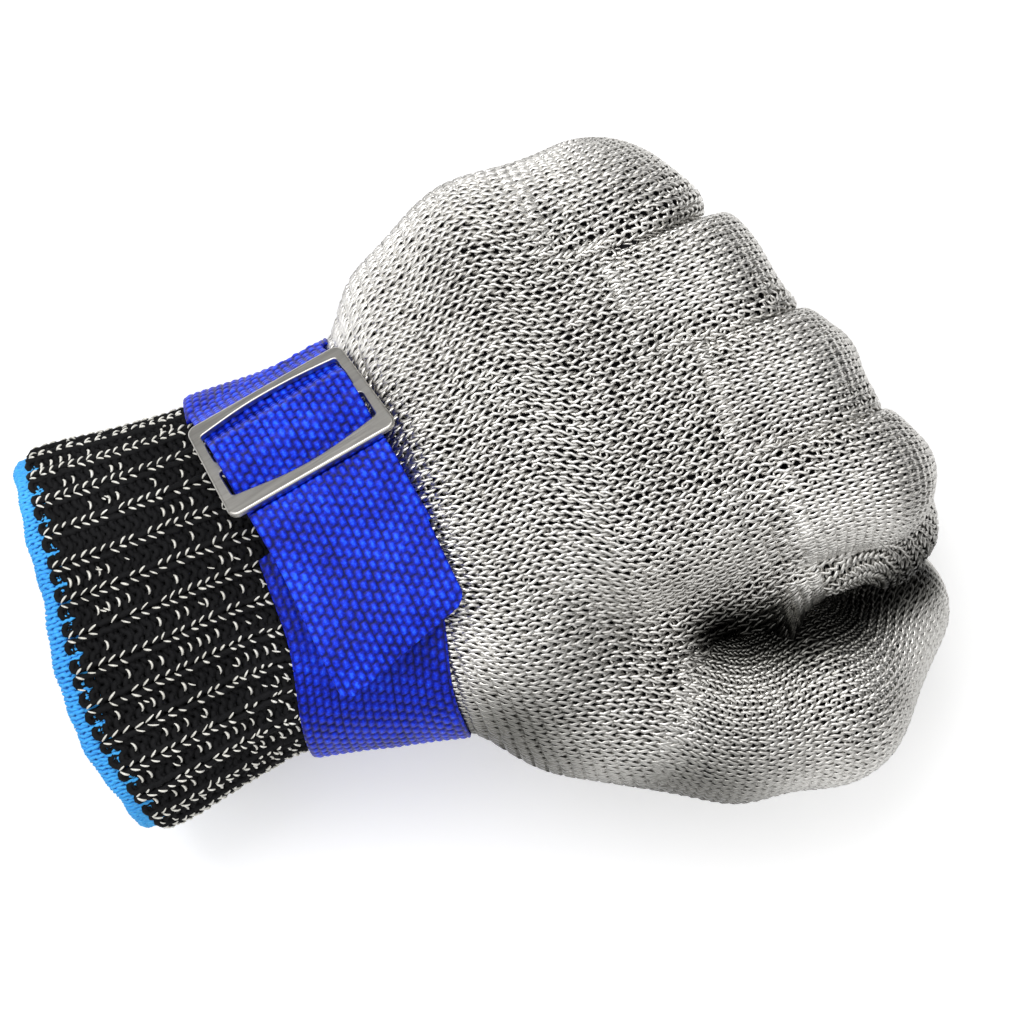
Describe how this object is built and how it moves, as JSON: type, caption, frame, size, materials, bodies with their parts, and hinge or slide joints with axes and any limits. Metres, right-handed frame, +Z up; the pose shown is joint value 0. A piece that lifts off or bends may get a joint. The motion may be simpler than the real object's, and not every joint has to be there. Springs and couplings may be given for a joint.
{
  "type": "chain mail glove",
  "caption": "Cut-resistant knitted steel mesh glove curled into a fist, with a black rib-knit cuff, light blue lining and a blue webbing wrist strap through a flat steel slider buckle.",
  "frame": {"origin": "middle of the cuff opening, on the face of the light blue hem", "axes": "+X from the cuff to the knuckles, +Y to the little finger, +Z up through the back of the hand, with the glove resting on its cuff and curled fingers"},
  "size_m": [0.1555, 0.1176, 0.0662],
  "materials": {
    "knitted_steel": "knitted stainless-steel wire, bright, small open loops",
    "dark_liner": "matt dark textile liner",
    "rib_knit": "black rib knit with thin white reinforcing yarn",
    "blue_lining": "light blue jersey knit",
    "blue_webbing": "plain-woven synthetic webbing",
    "slider_steel": "satin pressed steel",
    "sewing_thread": "polyester sewing thread"
  },
  "bodies": {
    "hand": {"hand_mesh": "knitted_steel", "hand_liner": "dark_liner", "rib_cuff": "rib_knit", "cuff_lining": "blue_lining", "cuff_hem": "blue_lining", "strap_loop": "blue_webbing", "strap_lead_in": "blue_webbing", "strap_sewn_end": "blue_webbing", "sewn_end_stitching": "sewing_thread", "strap_tacks": "sewing_thread"},
    "index_proximal": {"index_mesh_proximal": "knitted_steel", "index_liner_proximal": "dark_liner"},
    "index_middle": {"index_mesh_middle": "knitted_steel", "index_liner_middle": "dark_liner"},
    "index_distal": {"index_mesh_tip": "knitted_steel", "index_liner_tip": "dark_liner"},
    "middle_proximal": {"middle_mesh_proximal": "knitted_steel", "middle_liner_proximal": "dark_liner"},
    "middle_middle": {"middle_mesh_middle": "knitted_steel", "middle_liner_middle": "dark_liner"},
    "middle_distal": {"middle_mesh_tip": "knitted_steel", "middle_liner_tip": "dark_liner"},
    "ring_proximal": {"ring_mesh_proximal": "knitted_steel", "ring_liner_proximal": "dark_liner"},
    "ring_middle": {"ring_mesh_middle": "knitted_steel", "ring_liner_middle": "dark_liner"},
    "ring_distal": {"ring_mesh_tip": "knitted_steel", "ring_liner_tip": "dark_liner"},
    "little_proximal": {"little_mesh_proximal": "knitted_steel", "little_liner_proximal": "dark_liner"},
    "little_middle": {"little_mesh_middle": "knitted_steel", "little_liner_middle": "dark_liner"},
    "little_distal": {"little_mesh_tip": "knitted_steel", "little_liner_tip": "dark_liner"},
    "thumb_proximal": {"thumb_mesh_proximal": "knitted_steel", "thumb_liner_proximal": "dark_liner"},
    "thumb_distal": {"thumb_mesh_tip": "knitted_steel", "thumb_liner_tip": "dark_liner"},
    "buckle": {"buckle_frame": "slider_steel", "strap_threaded": "blue_webbing"},
    "tail": {"strap_tail": "blue_webbing"}
  },
  "joints": [
    {"name": "index_knuckle", "type": "hinge", "parent": "hand", "child": "index_proximal", "pos_m": [0.13542, -0.0192, 0.03001], "axis": [0.0347, 0.9994, 0.0041], "range_deg": [-80, 0]},
    {"name": "index_middle_joint", "type": "hinge", "parent": "index_proximal", "child": "index_middle", "pos_m": [0.14303, -0.0193, -0.01028], "axis": [0.0347, 0.9994, 0.0041], "range_deg": [-96, 0]},
    {"name": "index_end_joint", "type": "hinge", "parent": "index_middle", "child": "index_distal", "pos_m": [0.11808, -0.01843, -0.01146], "axis": [0.0347, 0.9994, 0.0041], "range_deg": [-44, 0]},
    {"name": "middle_knuckle", "type": "hinge", "parent": "hand", "child": "middle_proximal", "pos_m": [0.12874, 0.0013, 0.03123], "axis": [0, 1, 0], "range_deg": [-80, 0]},
    {"name": "middle_middle_joint", "type": "hinge", "parent": "middle_proximal", "child": "middle_middle", "pos_m": [0.1369, 0.0013, -0.012], "axis": [0, 1, 0], "range_deg": [-96, 0]},
    {"name": "middle_end_joint", "type": "hinge", "parent": "middle_middle", "child": "middle_distal", "pos_m": [0.10894, 0.0013, -0.01332], "axis": [0, 1, 0], "range_deg": [-44, 0]},
    {"name": "ring_knuckle", "type": "hinge", "parent": "hand", "child": "ring_proximal", "pos_m": [0.11953, 0.0218, 0.02814], "axis": [-0.0347, 0.9994, -0.0041], "range_deg": [-80, 0]},
    {"name": "ring_middle_joint", "type": "hinge", "parent": "ring_proximal", "child": "ring_middle", "pos_m": [0.12714, 0.0219, -0.01215], "axis": [-0.0347, 0.9994, -0.0041], "range_deg": [-96, 0]},
    {"name": "ring_end_joint", "type": "hinge", "parent": "ring_middle", "child": "ring_distal", "pos_m": [0.10019, 0.02096, -0.01342], "axis": [-0.0347, 0.9994, -0.0041], "range_deg": [-44, 0]},
    {"name": "little_knuckle", "type": "hinge", "parent": "hand", "child": "little_proximal", "pos_m": [0.10969, 0.0403, 0.02195], "axis": [-0.0693, 0.9976, -0.0081], "range_deg": [-80, 0]},
    {"name": "little_middle_joint", "type": "hinge", "parent": "little_proximal", "child": "little_middle", "pos_m": [0.11581, 0.04046, -0.01048], "axis": [-0.0693, 0.9976, -0.0081], "range_deg": [-96, 0]},
    {"name": "little_end_joint", "type": "hinge", "parent": "little_middle", "child": "little_distal", "pos_m": [0.09588, 0.03907, -0.01142], "axis": [-0.0693, 0.9976, -0.0081], "range_deg": [-44, 0]},
    {"name": "thumb_knuckle", "type": "hinge", "parent": "hand", "child": "thumb_proximal", "pos_m": [0.10177, -0.0512, 0.00793], "axis": [-0.1167, 0, 0.9932], "range_deg": [-34, 0]},
    {"name": "thumb_end_joint", "type": "hinge", "parent": "thumb_proximal", "child": "thumb_distal", "pos_m": [0.12742, -0.0517, 0.00389], "axis": [-0.1167, 0, 0.9932], "range_deg": [-37.4, 0]},
    {"name": "buckle_tilt", "type": "hinge", "parent": "hand", "child": "buckle", "pos_m": [0.04453, 0.0215, 0.03317], "axis": [-0.9843, -0.1763, -0.0047], "range_deg": [0, 8]},
    {"name": "strap_tail_lift", "type": "hinge", "parent": "buckle", "child": "tail", "pos_m": [0.0461, 0.01261, 0.038], "axis": [-0.9843, -0.1763, -0.0047], "range_deg": [0, 60]}
  ],
  "couplings": [
    {"joint": "index_middle_joint", "follows": "index_knuckle", "ratio": 1.2},
    {"joint": "index_end_joint", "follows": "index_knuckle", "ratio": 0.55},
    {"joint": "middle_middle_joint", "follows": "middle_knuckle", "ratio": 1.2},
    {"joint": "middle_end_joint", "follows": "middle_knuckle", "ratio": 0.55},
    {"joint": "ring_middle_joint", "follows": "ring_knuckle", "ratio": 1.2},
    {"joint": "ring_end_joint", "follows": "ring_knuckle", "ratio": 0.55},
    {"joint": "little_middle_joint", "follows": "little_knuckle", "ratio": 1.2},
    {"joint": "little_end_joint", "follows": "little_knuckle", "ratio": 0.55},
    {"joint": "thumb_end_joint", "follows": "thumb_knuckle", "ratio": 1.1}
  ]
}
